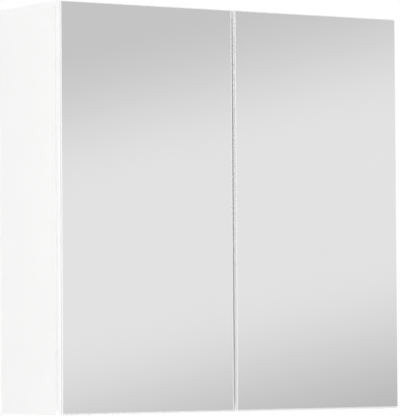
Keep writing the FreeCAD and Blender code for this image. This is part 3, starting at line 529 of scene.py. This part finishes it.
def screw_rings(radius, thick, shank, reach, details):
    """Screw about +Z, seated at zero, with a head, a shank and a pointed tip.

    The head is a dome that falls with the fourth power of the radius. A cross is pressed into it: the
    greater of two bars, each a smooth step across times one along. The tip is two shank radii long.
    """
    out = np.linspace(0.0, 1.0, RINGS)
    dome = thick * (1 - details.head_round * out**4)
    radii = np.concatenate([radius * out, [radius, shank, shank, 0.0]])
    heights = np.concatenate([dome, [0.0, 0.0, 2 * shank - reach, -reach]])
    rings = turned(radii, heights)
    soft = details.drive_soft * radius

    def bar(across, along):
        """How far one bar of the cross is pressed in, from 0 to 1."""
        side = smooth_step((details.drive_width * radius - np.abs(across)) / soft + 0.5)
        end = smooth_step((details.drive_length * radius - np.abs(along)) / soft + 0.5)
        return side * end

    x, y = rings[:RINGS, :, 0], rings[:RINGS, :, 1]
    rings[:RINGS, :, 2] -= details.drive_depth * thick * np.maximum(bar(x, y), bar(y, x))
    return rings


def dome_rings(radius, thick, power):
    """Dome about +Z on a flat base: radius and height are powers of a quarter turn's sine and cosine."""
    turn = np.linspace(0.0, np.pi / 2, RINGS)
    radii = np.append(radius * np.sin(turn) ** power, 0.0)
    heights = np.append(thick * np.abs(np.cos(turn)) ** power, 0.0)
    return turned(radii, heights)


def set_on(rings, seat, outward):
    """Rings about +Z turned to an outward axis and moved to their seat."""
    up = np.asarray(outward, dtype=float)
    side = np.roll(up, 1)
    return np.asarray(seat) + rings @ np.stack([side, np.cross(up, side), up])


def skin_faces(rings):
    """Faces of a skin through rings whose first and last are points, numbered from zero."""
    inner = rings - 2
    here = np.arange(AROUND)
    after = np.roll(here, -1)
    first = 1 + AROUND * np.arange(inner - 1)[:, None]
    second = first + AROUND
    walls = np.stack([first + here, second + here, second + after, first + after], axis=-1)
    end = 1 + AROUND * (inner - 1)
    top = np.stack([np.zeros_like(here), 1 + here, 1 + after], axis=-1)
    base = np.stack([end + here, np.full_like(here, 1 + AROUND * inner), end + after], axis=-1)
    return walls.reshape(-1, 4), np.concatenate([top, base])


def skin(name, rings_list, body, node, material):
    """One piece of closed skins, which rides on a body and stands for a CAD node."""
    places = []
    for rings in rings_list:
        places.append(np.concatenate([rings[0, :1], rings[1:-1].reshape(-1, 3), rings[-1, :1]]))
    walls, caps = skin_faces(len(rings_list[0]))
    starts = np.arange(len(places))[:, None, None] * len(places[0])
    faces = (walls + starts).reshape(-1, 4).tolist() + (caps + starts).reshape(-1, 3).tolist()
    mesh = bpy.data.meshes.new(name)
    mesh.from_pydata(np.concatenate(places).tolist(), [], faces)
    mesh.shade_smooth()
    mesh.set_sharp_from_angle(angle=SHARP_EDGE)
    mesh.materials.append(material)
    piece = bpy.data.objects.new(name, mesh)
    bpy.context.collection.objects.link(piece)
    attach(piece, body)
    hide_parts(node)


def screws(node, body, outward, thick, shank, material, details):
    """Screws for a CAD node's plain ones, heads towards outward or, along X, towards the middle."""
    axis = int(np.argmax(np.abs(outward)))
    rings = []
    for low, high in solids_of(node):
        middle = (low + high) / 2
        way = np.asarray(outward, dtype=float)
        if axis == 0:
            way = way * -np.sign(middle[0])
        radius = (high - low)[(axis + 1) % 3] / 2
        reach = (high - low)[axis] - thick
        seat = middle + way * ((high - low)[axis] / 2 - thick)
        rings.append(set_on(screw_rings(radius, thick, shank, reach, details), seat, way))
    skin(f"{node}_turned", rings, body, node, material)


# Operators


class CABINET_OT_carcass(bpy.types.Operator):
    """Finish the boards of the carcass"""

    bl_idname = "cabinet.carcass"
    bl_label = "Carcass"

    def execute(self, context):
        finishes, details = context.scene.cabinet_finishes, context.scene.cabinet_details
        boards = ("side_panel_left", "side_panel_right", "top_panel", "bottom_panel", "hanging_rail")
        dress(pearl_melamine(finishes.melamine, details), *boards)
        soften(details.board_round, *boards)
        dress(faced_hardboard(finishes.melamine, finishes.hardboard, details), "back_panel")
        return {"FINISHED"}


class CABINET_OT_doors(bpy.types.Operator):
    """Finish the door boards and their bumpers"""

    bl_idname = "cabinet.doors"
    bl_label = "Doors"

    def execute(self, context):
        finishes, details = context.scene.cabinet_finishes, context.scene.cabinet_details
        boards = [f"door_board_{side}" for side in SIDES]
        dress(satin_lacquer(finishes.lacquer), *boards)
        soften(details.board_round, *boards)
        clear = clear_rubber(finishes.rubber)
        for side in SIDES:
            node = f"door_bumpers_{side}"
            rings = []
            for low, high in solids_of(node):
                seat = ((low[0] + high[0]) / 2, low[1], (low[2] + high[2]) / 2)
                radius, thick = (high[0] - low[0]) / 2, high[1] - low[1]
                dome = dome_rings(radius, thick, details.bumper_power)
                rings.append(set_on(dome, seat, (0, 1, 0)))
            skin(f"{node}_domed", rings, f"door_{side}", node, clear)
        return {"FINISHED"}


class CABINET_OT_mirrors(bpy.types.Operator):
    """Finish the mirrors and the film behind them"""

    bl_idname = "cabinet.mirrors"
    bl_label = "Mirrors"

    def execute(self, context):
        finishes, details = context.scene.cabinet_finishes, context.scene.cabinet_details
        dress(mirror_glass(finishes, details), *(f"mirror_pane_{side}" for side in SIDES))
        film = moulded("film", finishes.film, smooth=0.5, dull=0.7, scale=300.0)
        dress(film, *(f"mirror_film_{side}" for side in SIDES))
        return {"FINISHED"}


class CABINET_OT_shelves(bpy.types.Operator):
    """Finish the glass shelves, their pins and pads"""

    bl_idname = "cabinet.shelves"
    bl_label = "Shelves"

    def execute(self, context):
        finishes, details = context.scene.cabinet_finishes, context.scene.cabinet_details
        glass = clear_shelf(finishes.shelf_glass, finishes.shelf_edge)
        dress(glass, *(f"shelf_{level}" for level in LEVELS))
        dress(plated_metal("pin_zinc", finishes.zinc, smooth=0.22, dull=0.36, scale=400.0), "shelf_pins")
        soften(details.metal_round, "shelf_pins")
        dress(clear_rubber(finishes.rubber), "shelf_pads")
        return {"FINISHED"}


class CABINET_OT_hinges(bpy.types.Operator):
    """Finish the cups, arms, mounting plates and pins of the hinges"""

    bl_idname = "cabinet.hinges"
    bl_label = "Hinges"

    def execute(self, context):
        tint = context.scene.cabinet_finishes.nickel
        nickel = plated_metal("nickel_plate", tint, smooth=0.16, dull=0.26, scale=120.0)
        places = [f"{side}_{level}" for side in SIDES for level in LEVELS]
        sheets = [f"hinge_{kind}_{place}" for kind in ("cup", "arm", "plate") for place in places]
        dress(nickel, *sheets, *(f"hinge_pins_{side}" for side in SIDES))
        return {"FINISHED"}


class CABINET_OT_fasteners(bpy.types.Operator):
    """Turn the screws that show, and finish the nails, bolts, cams and dowels"""

    bl_idname = "cabinet.fasteners"
    bl_label = "Fasteners"

    def execute(self, context):
        finishes, details = context.scene.cabinet_finishes, context.scene.cabinet_details
        zinc = plated_metal("screw_zinc", finishes.zinc, smooth=0.2, dull=0.38, scale=600.0)
        for node, (outward, thick, shank) in CARCASS_SCREWS.items():
            screws(node, "carcass", outward, thick, shank, zinc, details)
        for side in SIDES:
            for node, (outward, thick, shank) in DOOR_SCREWS.items():
                screws(f"{node}_{side}", f"door_{side}", outward, thick, shank, zinc, details)
        dress(zinc, "back_nails", "cam_discs", "cam_bolts")
        dress(plain_beech(finishes.beech), "corner_dowels", "rail_dowels")
        dress(moulded("cap_plastic", finishes.plastic, smooth=0.4, dull=0.55, scale=700.0), "cam_caps")
        return {"FINISHED"}


class CABINET_OT_catch(bpy.types.Operator):
    """Finish the magnetic catch and its strike plates"""

    bl_idname = "cabinet.catch"
    bl_label = "Catch"

    def execute(self, context):
        finishes, details = context.scene.cabinet_finishes, context.scene.cabinet_details
        plastic = moulded("catch_plastic", finishes.plastic, smooth=0.35, dull=0.5, scale=600.0)
        dress(plastic, "catch_housing")
        soften(details.board_round, "catch_housing")
        dress(moulded("ferrite", finishes.ferrite, smooth=0.45, dull=0.65, scale=900.0), "catch_magnets")
        strikes = [f"strike_plate_{side}" for side in SIDES]
        dress(plated_metal("strike_zinc", finishes.zinc, smooth=0.25, dull=0.4, scale=300.0), *strikes)
        soften(details.metal_round, *strikes)
        return {"FINISHED"}


# Studio


def surround(studio):
    """White to the eye and through glass, even light on the rest, a bright band in mirrors and metal.

    The band, at eye level, is a smooth rise and a smooth fall with the height of the direction. It is
    tilted a little across the front.
    """
    world = bpy.data.worlds.new("studio_surround")
    world.use_nodes = True
    tree = world.node_tree
    tree.nodes.clear()
    towards = add(tree, "ShaderNodeTexCoord", {}).outputs["Generated"]
    across = (math.cos(studio.camera_yaw), math.sin(studio.camera_yaw), 0.0)
    along = add(tree, "ShaderNodeVectorMath", {0: towards, 1: across}, operation="DOT_PRODUCT")
    inputs = {"Value": along.outputs["Value"], "Min": -studio.band_turn, "Max": studio.band_turn}
    near = add(tree, "ShaderNodeClamp", inputs).outputs["Result"]
    height = maths(tree, "MULTIPLY_ADD", near, -studio.band_tilt, apart(tree, towards)["Z"])
    below, light, above = studio.band_below, studio.band_light, studio.band_above
    rise = ramp(tree, height, studio.band_base_end, studio.band_base, below, light, "SMOOTHSTEP")
    fall = ramp(tree, height, studio.band_top, studio.band_top_end, 0.0, above - light, "SMOOTHSTEP")
    path = add(tree, "ShaderNodeLightPath", {}).outputs
    shiny = chosen(tree, path["Is Glossy Ray"], studio.ambient, maths(tree, "ADD", rise, fall))
    direct = maths(tree, "MAXIMUM", path["Is Camera Ray"], path["Is Transmission Ray"])
    seen = chosen(tree, direct, shiny, 1.0)
    glow = add(tree, "ShaderNodeBackground", {"Color": (1, 1, 1, 1), "Strength": seen})
    add(tree, "ShaderNodeOutputWorld", {"Surface": glow.outputs["Background"]})
    bpy.context.scene.world = world


def pale_floor(studio):
    """Plain pale floor, well below the cabinet; the mirrors show the surround in its place."""
    reach, height = studio.floor_reach, studio.floor_height
    signs = ((-1, -1), (1, -1), (1, 1), (-1, 1))
    corners = [(x * reach, y * reach, height) for x, y in signs]
    mesh = bpy.data.meshes.new("floor")
    mesh.from_pydata(corners, [], [(0, 1, 2, 3)])
    floor = bpy.data.objects.new("floor", mesh)
    bpy.context.collection.objects.link(floor)
    floor.visible_glossy = False
    mesh.materials.append(moulded("floor_paint", studio.floor_paint, smooth=0.75, dull=0.85, scale=150.0))


def lamp(name, light, place):
    """Lamp that points from its place to the origin and isn't seen in the mirrors."""
    piece = bpy.data.objects.new(name, light)
    bpy.context.collection.objects.link(piece)
    piece.location = place
    piece.rotation_euler = (-Vector(place)).to_track_quat("-Z", "Y").to_euler()
    piece.visible_glossy = False


def soft_lamps(studio):
    """Large square lamp from the left, and a soft light from above."""
    key = bpy.data.lights.new("key_lamp", "AREA")
    key.size = studio.key_size
    key.energy = studio.key_power
    lamp("key_lamp", key, studio.key_place)
    top = bpy.data.lights.new("top_lamp", "SUN")
    top.energy = studio.top_light
    top.angle = studio.top_spread
    lamp("top_lamp", top, studio.top_place)


def camera(studio):
    """Camera at its place, turned by yaw, pitch and roll."""
    view = bpy.data.cameras.new("camera")
    view.lens = studio.camera_lens
    view.sensor_width = studio.camera_film
    view.clip_end = studio.camera_reach
    eye = bpy.data.objects.new("camera", view)
    bpy.context.collection.objects.link(eye)
    turn = Matrix.Rotation(-studio.camera_yaw, 4, "Z")
    tilt = Matrix.Rotation(math.pi / 2 + studio.camera_pitch, 4, "X")
    roll = Matrix.Rotation(studio.camera_roll, 4, "Z")
    eye.matrix_world = Matrix.Translation(studio.camera_place) @ turn @ tilt @ roll
    bpy.context.scene.camera = eye


class CABINET_OT_studio(bpy.types.Operator):
    """Floor, lamps, surround and camera"""

    bl_idname = "cabinet.studio"
    bl_label = "Studio"

    def execute(self, context):
        studio = context.scene.cabinet_studio
        context.scene.view_settings.view_transform = "Standard"
        surround(studio)
        pale_floor(studio)
        soft_lamps(studio)
        camera(studio)
        return {"FINISHED"}


class CABINET_PT_panel(bpy.types.Panel):
    """Steps of the cabinet in the 3D view's sidebar"""

    bl_idname = "CABINET_PT_panel"
    bl_label = "Mirror cabinet"
    bl_space_type = "VIEW_3D"
    bl_region_type = "UI"
    bl_category = "Cabinet"

    def draw(self, context):
        for operator in OPERATORS:
            self.layout.operator(operator.bl_idname)


OPERATORS = (
    CABINET_OT_carcass,
    CABINET_OT_doors,
    CABINET_OT_mirrors,
    CABINET_OT_shelves,
    CABINET_OT_hinges,
    CABINET_OT_fasteners,
    CABINET_OT_catch,
    CABINET_OT_studio,
)
GROUPS = {
    "cabinet_finishes": CabinetFinishes,
    "cabinet_details": CabinetDetails,
    "cabinet_studio": CabinetStudio,
}
CLASSES = (*GROUPS.values(), *OPERATORS, CABINET_PT_panel)


def register():
    """Make the classes and the scene's properties known."""
    for item in CLASSES:
        bpy.utils.register_class(item)
    for name, group in GROUPS.items():
        setattr(bpy.types.Scene, name, PointerProperty(type=group))


def unregister():
    """Take them away again."""
    for name in GROUPS:
        delattr(bpy.types.Scene, name)
    for item in reversed(CLASSES):
        bpy.utils.unregister_class(item)


def main():
    """Run every step in order."""
    register()
    bpy.ops.cabinet.carcass()
    bpy.ops.cabinet.doors()
    bpy.ops.cabinet.mirrors()
    bpy.ops.cabinet.shelves()
    bpy.ops.cabinet.hinges()
    bpy.ops.cabinet.fasteners()
    bpy.ops.cabinet.catch()
    bpy.ops.cabinet.studio()


if __name__ == "__main__":
    main()
